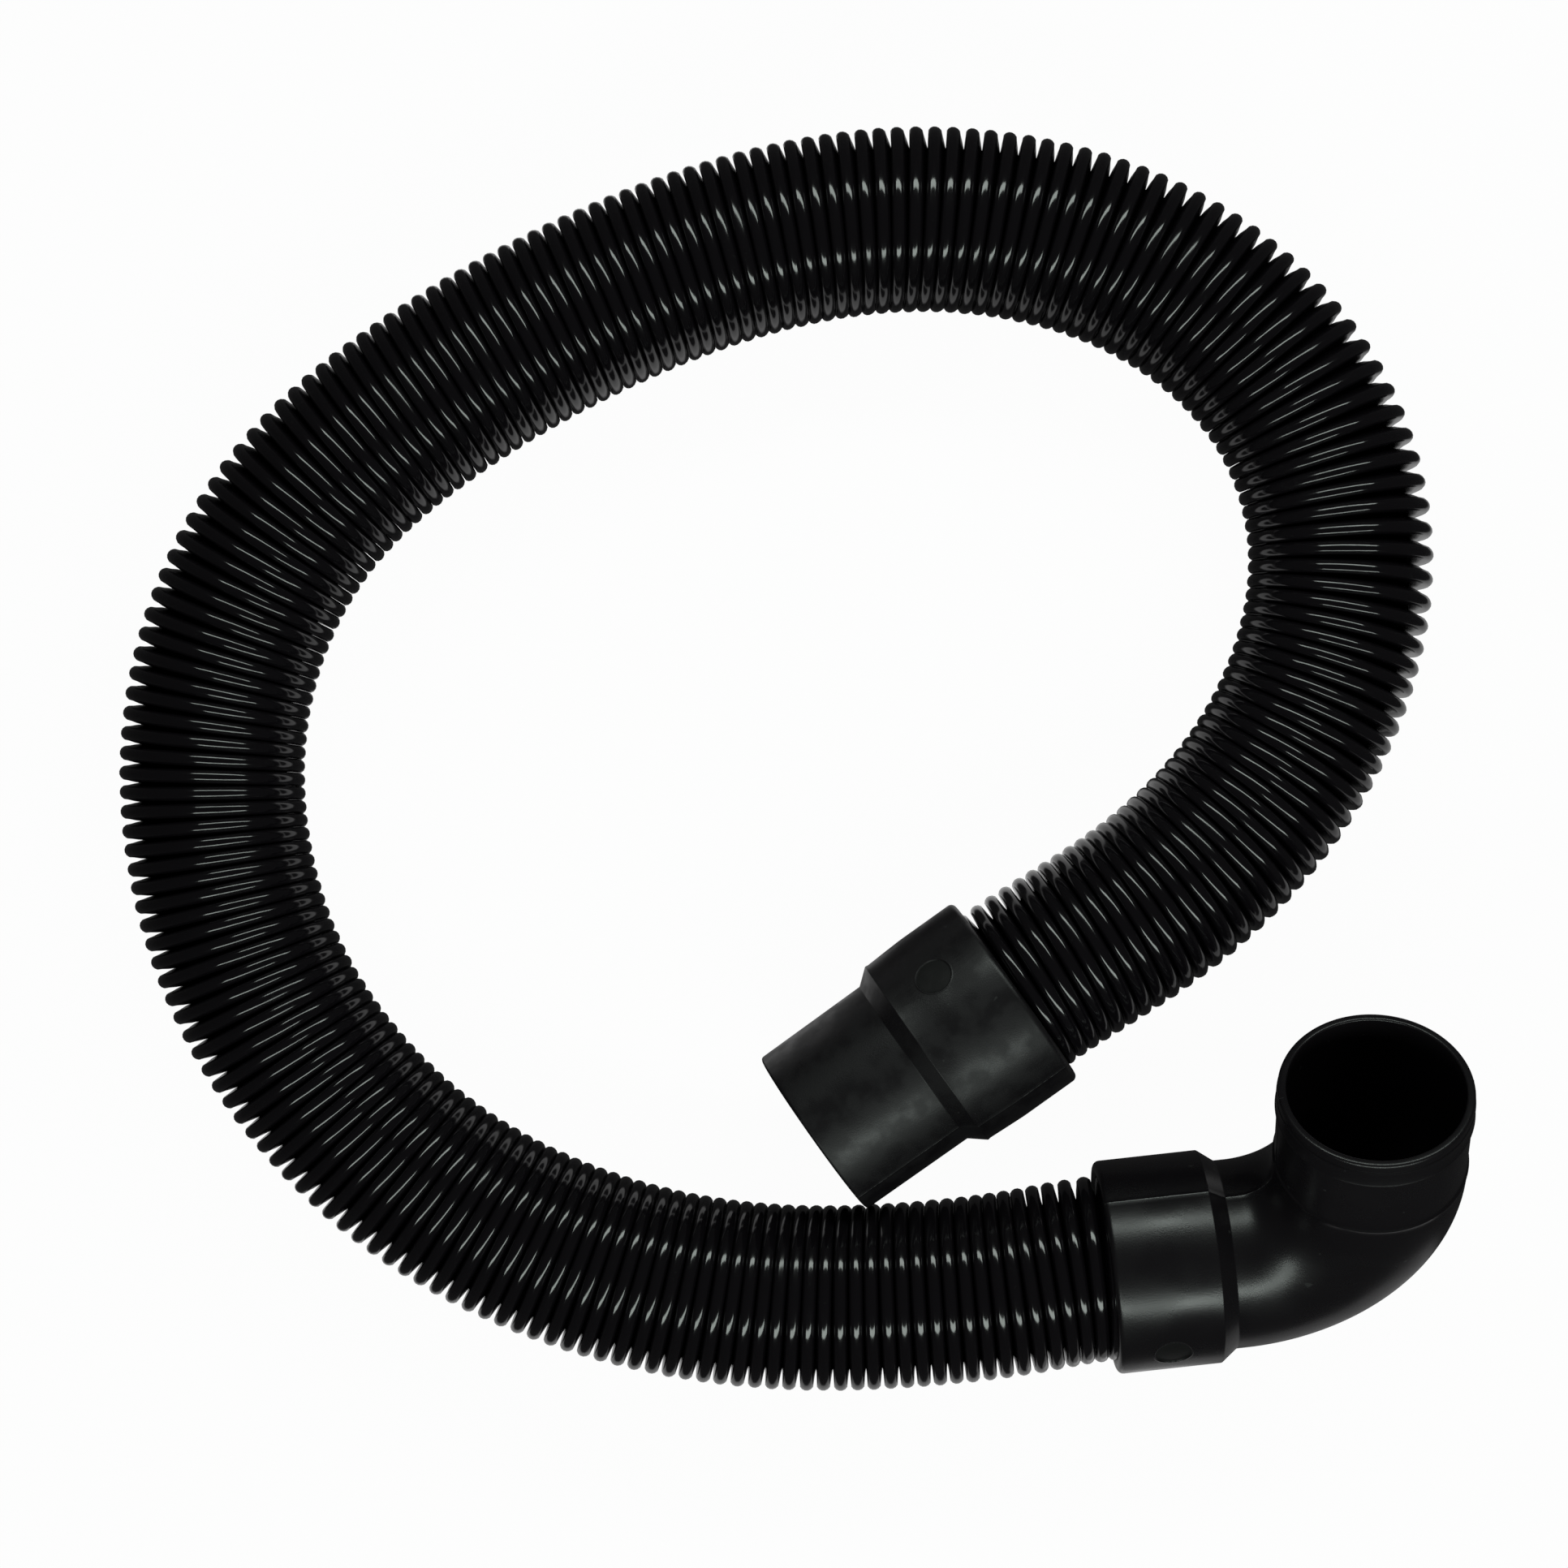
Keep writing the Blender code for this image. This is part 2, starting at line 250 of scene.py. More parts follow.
# %% One turn, then all of them
def straight_hose():
    """The hose before it is bent, from z = 0 to its relaxed length."""
    bm = bmesh.new()
    edges = outline(bm, rib_section(), closed=False)
    bmesh.ops.translate(bm, verts=bm.verts, vec=(0, 0, -RELAXED_PITCH))
    bmesh.ops.spin(bm, geom=list(bm.verts) + edges, cent=(0, 0, 0), axis=(0, 0, 1),
                   angle=-math.tau, steps=STEPS_PER_TURN,
                   dvec=(0, 0, RELAXED_PITCH / STEPS_PER_TURN))
    turns = 1
    while turns * RELAXED_PITCH < RELAXED_LENGTH + 2 * RELAXED_PITCH:
        made = bmesh.ops.duplicate(bm, geom=list(bm.verts) + list(bm.edges) + list(bm.faces))
        copies = [item for item in made["geom"] if isinstance(item, bmesh.types.BMVert)]
        bmesh.ops.translate(bm, verts=copies, vec=(0, 0, turns * RELAXED_PITCH))
        turns *= 2
    bmesh.ops.remove_doubles(bm, verts=bm.verts, dist=RELAXED_PITCH / 1000)
    for z, out in ((0.0, -1.0), (RELAXED_LENGTH, 1.0)):
        geom = list(bm.verts) + list(bm.edges) + list(bm.faces)
        bmesh.ops.bisect_plane(bm, geom=geom, dist=1e-7, plane_co=(0, 0, z),
                               plane_no=(0, 0, out), clear_outer=True)
    return bm


hose_bm = straight_hose()
print("outer skin:", len(hose_bm.faces), "faces")

# %% [markdown]
# The bore is out of sight between the cuffs, so a smooth tube closes the hose from inside, and the
# two cut ends are filled to make the wall solid.

# %% Bore and ends
BORE_SIDES = 32
BORE_RINGS = 80
CLOSE_BY = 1e-5  # a point closer than this to a cut or a face lies on it


def close_hose(bm):
    """Adds the bore and fills both cut ends."""
    bore = [(RELAXED_LENGTH * i / BORE_RINGS, HOSE_BORE / 2) for i in range(BORE_RINGS + 1)]
    before = len(bm.verts)
    edges = outline(bm, bore, closed=False)
    bm.verts.ensure_lookup_table()
    bmesh.ops.spin(bm, geom=bm.verts[before:] + edges, cent=(0, 0, 0), axis=(0, 0, 1),
                   angle=math.tau, steps=BORE_SIDES, use_merge=True)
    for z in (0.0, RELAXED_LENGTH):
        rim = [edge for edge in bm.edges
               if edge.is_boundary and all(abs(vert.co.z - z) < CLOSE_BY for vert in edge.verts)]
        bmesh.ops.triangle_fill(bm, edges=rim, use_beauty=True)
    bmesh.ops.recalc_face_normals(bm, faces=bm.faces)
    if bm.calc_volume(signed=True) < 0:
        bmesh.ops.reverse_faces(bm, faces=bm.faces)


close_hose(hose_bm)
print("closed hose:", len(hose_bm.faces), "faces, open edges:",
      sum(edge.is_boundary for edge in hose_bm.edges))

# %% [markdown]
# ## Coordinates along the rib
# Dirt and the marks of the extruder run along the rib, so the finish needs to know how far along
# the rib a point is, and how far from its crest. A UV map holds both: u is metres along the rib
# and v is metres across it. Each face takes the turn that its own middle lies on, so no face
# stretches from one turn to the next.

# %% UV map along the rib
def rib_turns(spots):
    """Which turn of the rib a point lies on, and how far it is past that turn's crest."""
    angle = np.arctan2(spots[:, 1], spots[:, 0])
    turn = np.round(spots[:, 2] / RELAXED_PITCH + angle / math.tau)
    past = spots[:, 2] - RELAXED_PITCH * (turn - angle / math.tau)
    return angle, turn, past


def map_rib(bm):
    """u is metres along the rib, v is metres across it from the crest."""
    layer = bm.loops.layers.uv.new("rib")
    middles = np.array([face.calc_center_median() for face in bm.faces])
    angles, turns, _ = rib_turns(middles)
    for face, angle, turn in zip(bm.faces, angles, turns):
        for loop in face.loops:
            x, y, z = loop.vert.co
            near = math.atan2(y, x)
            near -= math.tau * round((near - angle) / math.tau)
            along = turn - near / math.tau
            loop[layer].uv = (along * math.tau * HOSE_RADIUS, z - along * RELAXED_PITCH)


map_rib(hose_bm)
print("mapped", len(hose_bm.faces), "faces")

# %% [markdown]
# ## Laying the hose
# Every point's z is looked up along the line, and its x and y become the way up and sideways
# there. Done plainly, that would stretch the whole rib on the outside of a bend. The real rib
# keeps its width and only the groove opens, so a point near the crest is pulled back towards it.
# Where the turns are squeezed, their sides meet and go no further. In some stretches the crests
# lean by up to 12 degrees along the hose, as they do in the photograph. No extruded hose is
# perfect, so the rib also wanders and swells by up to a tenth of a millimetre.

# %% Directions and unevenness along the hose
def on_line(way, values):
    """Values that are known along the line, looked up at points of the straight hose."""
    return np.column_stack([
        np.interp(way, relaxed_way, values[:, i]) for i in range(values.shape[1])
    ])


def directions(way):
    """Which way is forward, sideways and up along the line."""
    forward = on_line(way, middle_ahead)
    forward /= np.linalg.norm(forward, axis=1)[:, None]
    side = np.cross((0.0, 0.0, 1.0), forward)
    side /= np.linalg.norm(side, axis=1)[:, None]
    return forward, side, np.cross(forward, side)


def ripple(*phases):
    """An uneven wave between -1 and 1, from a few sines that don't repeat together."""
    return sum(np.sin(phase + 1.7 * i) for i, phase in enumerate(phases)) / len(phases)


# %% How far the rib is pulled along the hose
WANDER = 0.00010
SWELL = 0.00006
STIFF_DEPTH = 0.0012  # the rib keeps its width down to this depth
LIMP_DEPTH = 0.0044  # from here on it stretches with the hose
TOUCH = 0.00003  # left between the flanks of two turns that touch
CREASE_SHARE = 0.49  # past this share of the pitch a point is in the crease, and stays there
END_FADE = 0.003  # nothing is pulled at the cut ends, and all of it from here on
LEAN = [  # metres along the relaxed hose, and how far the crests lean on from there, in degrees
    (0.00, 0), (0.08, -4), (0.16, -8), (0.24, -3), (0.31, 10), (0.40, 12), (0.50, 2),
    (0.58, -4), (0.66, -7), (0.75, -4), (0.83, 0), (0.92, 0),
]


def rib_pull(way, past, along, rise, firm, stretch):
    """How far each point moves along the straight hose, so that the rib keeps its width."""
    room = RELAXED_PITCH * stretch / 2 - TOUCH
    wide = np.clip(past * (firm + (1 - firm) * stretch), -room, room)
    in_crease = np.abs(past) > RELAXED_PITCH * CREASE_SHARE
    pull = np.where(in_crease, 0.0, wide / stretch - past)
    pull += WANDER * ripple(along * 5.1, along * 9.7, along * 2.3, along * 23.0) * firm
    lean = np.radians(np.interp(way, *zip(*LEAN)))
    from_end = np.minimum(way, RELAXED_LENGTH - way)
    return (pull + np.tan(lean) * rise / stretch) * np.clip(from_end / END_FADE, 0, 1)


# %% Lay the hose on its line
def lay_hose(bm):
    """Carries the straight hose onto the middle line."""
    spots = np.array([vert.co for vert in bm.verts])
    way = spots[:, 2]
    radius = np.hypot(spots[:, 0], spots[:, 1])
    depth = HOSE_RADIUS - radius
    in_bore = radius < ROOT_RADIUS - CLOSE_BY
    angle, turn, past = rib_turns(spots)
    along = turn - angle / math.tau

    forward, side, top = directions(way)
    outward = spots[:, :1] * side + spots[:, 1:2] * top
    inner = np.sum(outward * on_line(way, bend_vector), axis=1)
    stretch = on_line(way, pitch[:, None])[:, 0] / RELAXED_PITCH * (1 - inner)
    firm = smooth_step((LIMP_DEPTH - depth) / (LIMP_DEPTH - STIFF_DEPTH))
    firm[in_bore] = 0.0
    rise = np.where(in_bore, 0.0, RIB_HEIGHT - depth)
    pull = rib_pull(way, past, along, rise, firm, stretch)
    swell = 1 + SWELL / HOSE_RADIUS * firm * ripple(along * 7.9, along * 3.1, along * 31.0)
    laid = on_line(way, middle) + outward * swell[:, None] + forward * (pull * stretch)[:, None]
    for vert, spot in zip(bm.verts, laid):
        vert.co = spot


lay_hose(hose_bm)
print("laid; highest point", round(max(vert.co.z for vert in hose_bm.verts) * 1000, 1), "mm")

# %% Make an object of a finished bmesh
def finished(bm, name, sharp):
    """Links the named object. Edges sharper than the given angle stay crisp."""
    mesh = bpy.data.meshes.new(name)
    bm.to_mesh(mesh)
    bm.free()
    mesh.shade_smooth()
    mesh.set_sharp_from_angle(angle=sharp)
    made = bpy.data.objects.new(name, mesh)
    scene.collection.objects.link(made)
    return made


hose = finished(hose_bm, "hose_ribbed", math.radians(60))
print(hose.name, len(hose.data.polygons), "faces")

# %% [markdown]
# ## Turned shapes with a parting line
# Both cuffs are injection moulded. Where the two halves of a mould meet, a fine line of plastic
# stands up all the way along the cuff. The cuffs are turned shapes, so a spin makes them. The spin
# goes round in four stretches: two long ones, and two short fine ones where the line runs. Corners
# that are round on the real moulding are turned into arcs first.

# %% Profile with rounded corners
ARC_STEPS = 5


def rounded(corners):
    """A closed outline. Each corner (z, radius, rounding) with a rounding becomes an arc."""
    points = []
    for i, (z, radius, rounding) in enumerate(corners):
        here = Vector((z, radius))
        if rounding == 0:
            points.append(here)
            continue
        back = (Vector(corners[i - 1][:2]) - here).normalized()
        ahead = (Vector(corners[(i + 1) % len(corners)][:2]) - here).normalized()
        half = back.angle(ahead) / 2
        centre = here + (back + ahead).normalized() * rounding / math.sin(half)
        reach = rounding / math.tan(half)
        start = here + back * reach - centre
        end = here + ahead * reach - centre
        for step in range(ARC_STEPS + 1):
            way_out = start.slerp(end, step / ARC_STEPS).normalized()
            points.append(centre + way_out * rounding)
    return points


# %% Spin with two fine stretches
SAME_PLACE = 1e-6  # points closer than this are one point
SEAM_HALF = math.radians(0.35)
SEAM_HEIGHT = 0.00006
CUFF_STEPS = 72  # in each long stretch


def turned(profile, seam_inside):
    """The profile turned about Z. The parting line stands up at angles 0 and 180 degrees, on all
    that is further out than seam_inside, and the layer named seam says where."""
    bm = bmesh.new()
    edges = outline(bm, profile, closed=True)
    geom = list(bm.verts) + edges
    bmesh.ops.rotate(bm, verts=bm.verts, matrix=Matrix.Rotation(-SEAM_HALF, 3, "Z"))
    for _ in range(2):
        for angle, steps in ((2 * SEAM_HALF, 2), (math.pi - 2 * SEAM_HALF, CUFF_STEPS)):
            made = bmesh.ops.spin(bm, geom=geom, cent=(0, 0, 0), axis=(0, 0, 1), angle=angle,
                                  steps=steps)
            geom = made["geom_last"]
    bmesh.ops.remove_doubles(bm, verts=bm.verts, dist=SAME_PLACE)
    bmesh.ops.recalc_face_normals(bm, faces=bm.faces)
    seam = bm.verts.layers.float.new("seam")
    for vert in bm.verts:
        radius = math.hypot(vert.co.x, vert.co.y)
        if abs(vert.co.y) < SAME_PLACE and radius > seam_inside:
            vert.co.x *= 1 + SEAM_HEIGHT / radius
            vert[seam] = 1.0
    return bm


# %% [markdown]
# ## Round stamps
# The mould of such a part has a small round insert, which leaves a shallow disc with a fine rim.
# Both collars have one, and it stays bare here. The profile has extra rings there, the faces round
# it are subdivided, and the points inside the circle are pressed in. The rim stands up a little.

# %% Press a round mark
STAMP_RADIUS = 0.0047
STAMP_DEPTH = 0.00030
STAMP_RIM = 0.00025  # width of the step at its edge
STAMP_RIM_RISE = 0.00008
STAMP_RINGS = np.linspace(-0.006, 0.006, 13)  # extra rings of points on each side of a stamp
STAMP_CUTS = (3, 2)  # cuts of each edge near it, in two rounds
STAMP_CUT_REACH = 1.35  # how far from its middle the edges are cut, in radii
SKIN_SHARE = 0.96  # whatever is nearer the axis than this share of the radius isn't the outside


def press_stamp(bm, angle, z, radius):
    """Presses a disc into the outside of a turned shape, at an angle and a height."""
    spot = Vector((radius * math.cos(angle), radius * math.sin(angle), z))
    out = Vector((math.cos(angle), math.sin(angle), 0.0))

    def near(vert, radii):
        return (vert.co - spot).length < STAMP_RADIUS * radii

    def outside(vert):
        return vert.co.xy.length > radius * SKIN_SHARE

    for cuts in STAMP_CUTS:
        edges = [edge for edge in bm.edges
                 if any(near(vert, STAMP_CUT_REACH) for vert in edge.verts)
                 and all(outside(vert) for vert in edge.verts)]
        bmesh.ops.subdivide_edges(bm, edges=edges, cuts=cuts, use_grid_fill=True)
    stamp = bm.verts.layers.float.new("stamp")
    for vert in bm.verts:
        if not near(vert, 2) or not outside(vert):
            continue
        offset = vert.co - spot
        away = (offset - out * offset.dot(out)).length - STAMP_RADIUS
        pressed = smooth_step(0.5 - away / STAMP_RIM)
        vert[stamp] = float(pressed)
        lip = STAMP_RIM_RISE * math.exp(-((away / STAMP_RIM - 1) ** 2) * 2)
        vert.co -= out * (STAMP_DEPTH * pressed - lip)


# %% [markdown]
# ## Straight cuff
# A collar takes the hose, a short cone drops from it, and a slightly tapered spigot is pushed into
# the machine. It is turned about its own Z, from the face of the collar towards the tip.

# %% Straight cuff
SOCKET_RADIUS = 0.0243
SOCKET_END = 0.0253
SOCKET_LEAD = 0.0008  # bevel that lets the hose in
FACE_ROUND = 0.0016  # outer edge of each collar's face
TIP_ROUND = 0.0009  # outer edge of the spigot's tip and of the elbow's mouth
STRAIGHT_COLLAR_LENGTH = 0.0283
STRAIGHT_COLLAR_DRAFT = 0.0005
DRAFT_START = 0.6  # the collar's draft begins at this share of its length
STRAIGHT_SLOPE = 0.0042
SPIGOT_RADIUS = 0.0241
SPIGOT_DRAFT = 0.00025
SPIGOT_LENGTH = 0.0318
SPIGOT_WALL = 0.0026
SEAM_MARGIN = 0.001  # this far under the thinnest skin, a point still counts as the outside
STRAIGHT_SEAM = math.radians(-52)  # where the parting line runs, from the top of the cuff
STRAIGHT_STAMP = (math.radians(37.1), 0.0153)
LINE_RISE = 0.00025  # how far crisp edges stand up
LINE_START = 0.0008  # where the collar begins to rise to its crisp edge


def place(bm, spot, x_axis, z_axis):
    """Carries a bmesh so that its own X and Z point along the given axes."""
    x_axis, z_axis = Vector(x_axis), Vector(z_axis)
    turn = Matrix((x_axis, z_axis.cross(x_axis), z_axis)).transposed()
    bmesh.ops.transform(bm, matrix=Matrix.Translation(spot) @ turn.to_4x4(), verts=bm.verts)


def straight_collar(z):
    """The collar's radius, which falls a little towards the cone."""
    start = STRAIGHT_COLLAR_LENGTH * DRAFT_START
    fall = max(0.0, (z - start) / (STRAIGHT_COLLAR_LENGTH - start))
    return STRAIGHT_COLLAR_RADIUS - STRAIGHT_COLLAR_DRAFT * fall


def straight_cuff():
    """Collar, cone and spigot, with a socket for the hose."""
    cone = STRAIGHT_COLLAR_LENGTH + STRAIGHT_SLOPE
    end = cone + SPIGOT_LENGTH
    bore = SPIGOT_RADIUS - SPIGOT_WALL
    collar_end = STRAIGHT_COLLAR_RADIUS - STRAIGHT_COLLAR_DRAFT
    stamp_angle, stamp_z = STRAIGHT_STAMP
    profile = rounded([
        (0.0, STRAIGHT_COLLAR_RADIUS, FACE_ROUND),
        *[(stamp_z + z, straight_collar(stamp_z + z), 0) for z in STAMP_RINGS],
        (STRAIGHT_COLLAR_LENGTH - LINE_START, collar_end, 0),
        (STRAIGHT_COLLAR_LENGTH, collar_end + LINE_RISE / 2, 0.0004),
        (cone, SPIGOT_RADIUS, 0.0006),
        (end, SPIGOT_RADIUS - SPIGOT_DRAFT, TIP_ROUND),
        (end, bore, 0.0005),
        (SOCKET_END, bore, 0),
        (SOCKET_END, SOCKET_RADIUS, 0),
        (SOCKET_LEAD, SOCKET_RADIUS, 0),
        (0.0, SOCKET_RADIUS + SOCKET_LEAD, 0),
    ])
    bm = turned(profile, SPIGOT_RADIUS - SEAM_MARGIN)
    press_stamp(bm, stamp_angle - STRAIGHT_SEAM, stamp_z, STRAIGHT_COLLAR_RADIUS)
    bmesh.ops.rotate(bm, verts=bm.verts, matrix=Matrix.Rotation(STRAIGHT_SEAM, 3, "Z"))
    place(bm, straight_face, (0, 0, 1), -heading(FIRST_HEADING))
    return finished(bm, "cuff_straight", math.radians(35))


straight = straight_cuff()
print(straight.name, len(straight.data.polygons), "faces")

# %% [markdown]
# ## Elbow cuff
# The elbow is the same kind of collar with a neck that turns 89 degrees into a leg. The mouth has
# a thicker band and a groove under its lip. It is turned straight, with enough rings in its
# profile for the bend, and then carried along its middle line, as the hose was.

# %% Sizes of the elbow
ELBOW_COLLAR_LENGTH = 0.027
ELBOW_SLOPE = 0.0042
NECK_RADIUS = 0.0244
NECK_LENGTH = 0.0029
ELBOW_WALL = 0.0022
BEND_RADIUS = 0.0339
BEND_ANGLE = math.radians(89)
LEG_LENGTH = 0.029
LEG_STEP = 0.0265
WAIST_DROP = 0.0002
BAND_LENGTH = 0.0076
BAND_RISE = 0.0004
LINE_WIDTH = 0.0005  # of the crisp edges round the leg
GROOVE_BACK = 0.0026  # from the mouth back to the groove under its lip
GROOVE_DEPTH = 0.0003
GROOVE_FLOOR = 0.0002
GROOVE_SIDE = 0.0003
ELBOW_LEAN = math.radians(43.7)
ELBOW_STAMP = (math.radians(94.6), 0.0138)
BEND_RINGS = 40
LINE_POINTS = 60  # on each straight part of the elbow's own line


def elbow_line():
    """Up its own Z, round the bend, and out along the leg."""
    straight_part = ELBOW_COLLAR_LENGTH + ELBOW_SLOPE + NECK_LENGTH
    turn = np.linspace(0, BEND_ANGLE, 3 * BEND_RINGS + 1)
    curve = np.column_stack((
        BEND_RADIUS * (1 - np.cos(turn)),
        np.zeros_like(turn),
        straight_part + BEND_RADIUS * np.sin(turn),
    ))
    ahead = np.array((math.sin(BEND_ANGLE), 0.0, math.cos(BEND_ANGLE)))
    rise = np.linspace(0, straight_part, LINE_POINTS, endpoint=False)
    inlet = np.column_stack((np.zeros((LINE_POINTS, 2)), rise))
    leg = curve[-1] + np.outer(np.linspace(0, LEG_LENGTH, LINE_POINTS)[1:], ahead)
    return np.vstack((inlet, curve, leg))


# %% Elbow cuff
def bend_along(bm, line, up):
    """Carries what was turned about Z onto a line."""
    way = way_along(line)
    ahead = np.gradient(line, way, axis=0)
    for vert in bm.verts:
        spot = [np.interp(vert.co.z, way, line[:, i]) for i in range(3)]
        forward = Vector([np.interp(vert.co.z, way, ahead[:, i]) for i in range(3)]).normalized()
        side = Vector(up).cross(forward).normalized()
        vert.co = Vector(spot) + side * vert.co.x + forward.cross(side) * vert.co.y


def elbow_cuff():
    """Collar, cone, neck, bend and leg with a banded mouth."""
    line = elbow_line()
    end = way_along(line)[-1]
    slope_end = ELBOW_COLLAR_LENGTH + ELBOW_SLOPE
    bend_start = slope_end + NECK_LENGTH
    step = end - LEG_STEP
    groove = end - GROOVE_BACK
    waist = NECK_RADIUS - WAIST_DROP
    band = waist + BAND_RISE
    bore = NECK_RADIUS - ELBOW_WALL
    rings = np.linspace(bend_start, step - 0.0006, BEND_RINGS)
    profile = rounded([
        (0.0, ELBOW_COLLAR_RADIUS, FACE_ROUND),
        *[(ELBOW_STAMP[1] + z, ELBOW_COLLAR_RADIUS, 0) for z in STAMP_RINGS],
        (ELBOW_COLLAR_LENGTH, ELBOW_COLLAR_RADIUS, 0.0007),
        (slope_end, NECK_RADIUS, 0.0008),
        *[(z, NECK_RADIUS, 0) for z in rings],
        (step, NECK_RADIUS + LINE_RISE, 0),
        (step + LINE_WIDTH, waist, 0),
        (end - BAND_LENGTH - BAND_RISE, waist, 0),
        (end - BAND_LENGTH, band + LINE_RISE, 0.0002),
        (end - BAND_LENGTH + LINE_WIDTH, band, 0),
        (groove - GROOVE_FLOOR - GROOVE_SIDE, band, 0),
        (groove - GROOVE_FLOOR, band - GROOVE_DEPTH, 0),
        (groove, band - GROOVE_DEPTH, 0),
        (groove + GROOVE_SIDE, band - 0.0001, 0),
        (end, band - 0.0003, TIP_ROUND),
        (end, bore, 0.0006),
        *[(z, bore, 0) for z in rings[::-2]],
        (SOCKET_END, bore, 0),
        (SOCKET_END, SOCKET_RADIUS, 0),
        (SOCKET_LEAD, SOCKET_RADIUS, 0),
        (0.0, SOCKET_RADIUS + SOCKET_LEAD, 0),
    ])
    bm = turned(profile, NECK_RADIUS - SEAM_MARGIN)
    press_stamp(bm, *ELBOW_STAMP, ELBOW_COLLAR_RADIUS)
    bend_along(bm, line, (0, 1, 0))
    inlet = heading(LAST_HEADING)
    across = heading(LAST_HEADING + math.radians(90))
    leg = across * math.sin(ELBOW_LEAN) + np.array((0.0, 0.0, math.cos(ELBOW_LEAN)))
    place(bm, elbow_face, leg, inlet)
    return finished(bm, "cuff_elbow", math.radians(35))


elbow = elbow_cuff()
print(elbow.name, len(elbow.data.polygons), "faces")

# %% [markdown]
# ## Shader maths in Python
# A finish is a sum of many small effects. Written as nodes by hand that is long, so a small class
# wraps a socket, and +, - and * on it add Math nodes to the same material.

# %% A socket that can be calculated with
class Wire:
    """One output of a node. Sums, differences and products of wires add Math nodes."""

    def __init__(self, tree, socket=None):
        self.tree = tree
        self.socket = socket

    def node(self, kind, settings=None, sockets=None, output=0):
        """Adds a node: its settings first, then the values or wires of its sockets. The output
        is given by its number or its name."""
        made = self.tree.nodes.new(kind)
        for key, value in (settings or {}).items():
            setattr(made, key, value)
        for key, value in (sockets or {}).items():
            if isinstance(value, Wire):
                self.tree.links.new(value.socket, made.inputs[key])
            else:
                made.inputs[key].default_value = value
        return Wire(self.tree, made.outputs[output])

    def math(self, operation, *values):
        """Adds a Math node."""
        return self.node("ShaderNodeMath", {"operation": operation}, dict(enumerate(values)))

    def __add__(self, other):
        return self.math("ADD", self, other)

    __radd__ = __add__

    def __sub__(self, other):
        return self.math("SUBTRACT", self, other)

    def __rsub__(self, other):
        return self.math("SUBTRACT", other, self)

    def __mul__(self, other):
        return self.math("MULTIPLY", self, other)

    __rmul__ = __mul__

    def into(self, shader, name):
        """Links this wire to a shader's socket."""
        self.tree.links.new(self.socket, shader.inputs[name])


def new_finish(name):
    """A material with a Principled BSDF, and a wire that starts its maths."""
    material = bpy.data.materials.new(name)
    material.use_nodes = True
    return material, material.node_tree.nodes["Principled BSDF"], Wire(material.node_tree)


# %% Noise and masks that both finishes use
def noise(wire, where, scale, detail=2.0, rough=0.5):
    """Smooth noise from 0 to 1 at a scale per metre."""
    return wire.node("ShaderNodeTexNoise", None,
                     {"Vector": where, "Scale": scale, "Detail": detail, "Roughness": rough})


def above(value, low, high):
    """0 below low, 1 above high, and smooth in between."""
    return value.node("ShaderNodeMapRange", {"interpolation_type": "SMOOTHSTEP"},
                      {"Value": value, "From Min": low, "From Max": high})


def blend_colour(wire, share, first, second):
    """A mix of two colours, which go into the sockets 6 and 7 of the node."""
    return wire.node("ShaderNodeMix", {"data_type": "RGBA"},
                     {"Factor": share, 6: first, 7: second}, output=2)


# %% [markdown]
# ## Finish of the hose
# The hose is extruded from soft glossy plastic, so it mirrors the lamps in thin bright strokes
# along the rib. Fine streaks run along the rib too, and a few dull smears come from handling.

# %% Glossy black hose
HOSE_BLACK = (0.0062, 0.0052, 0.0066, 1.0)
HOSE_DUST = (0.020, 0.021, 0.020, 1.0)
HOSE_IOR = 1.54
STREAKS = (60, 2600, 1)  # to a metre along the rib and across it
RIPPLES = (220, 900, 1)


def hose_finish():
    """Glossy black plastic with streaks along the rib."""
    material, shader, wire = new_finish("hose_gloss_black")
    rib = wire.node("ShaderNodeUVMap", {"uv_map": "rib"})
    place_on = wire.node("ShaderNodeTexCoord", output="Object")
    streak_where = wire.node("ShaderNodeMapping", None, {"Vector": rib, "Scale": STREAKS})
    streak = noise(wire, streak_where, 1.0, 3.0)
    smear = noise(wire, place_on, 55.0, 4.0, 0.6)
    dust = above(noise(wire, place_on, 900.0, 2.0), 0.62, 0.8) * above(smear, 0.45, 0.7)
    blend_colour(wire, dust * 0.6, HOSE_BLACK, HOSE_DUST).into(shader, "Base Color")
    (0.08 + 0.08 * above(smear, 0.5, 0.75) + 0.05 * streak).into(shader, "Roughness")
    ripple_where = wire.node("ShaderNodeMapping", None, {"Vector": rib, "Scale": RIPPLES})
    height = 0.7 * noise(wire, ripple_where, 1.0, 2.0) + 0.3 * streak
    bump = wire.node("ShaderNodeBump", None,
                     {"Strength": 0.25, "Distance": 0.00008, "Height": height})
    bump.into(shader, "Normal")
    shader.inputs["IOR"].default_value = HOSE_IOR
    return material


hose.data.materials.append(hose_finish())
print("hose finish made")
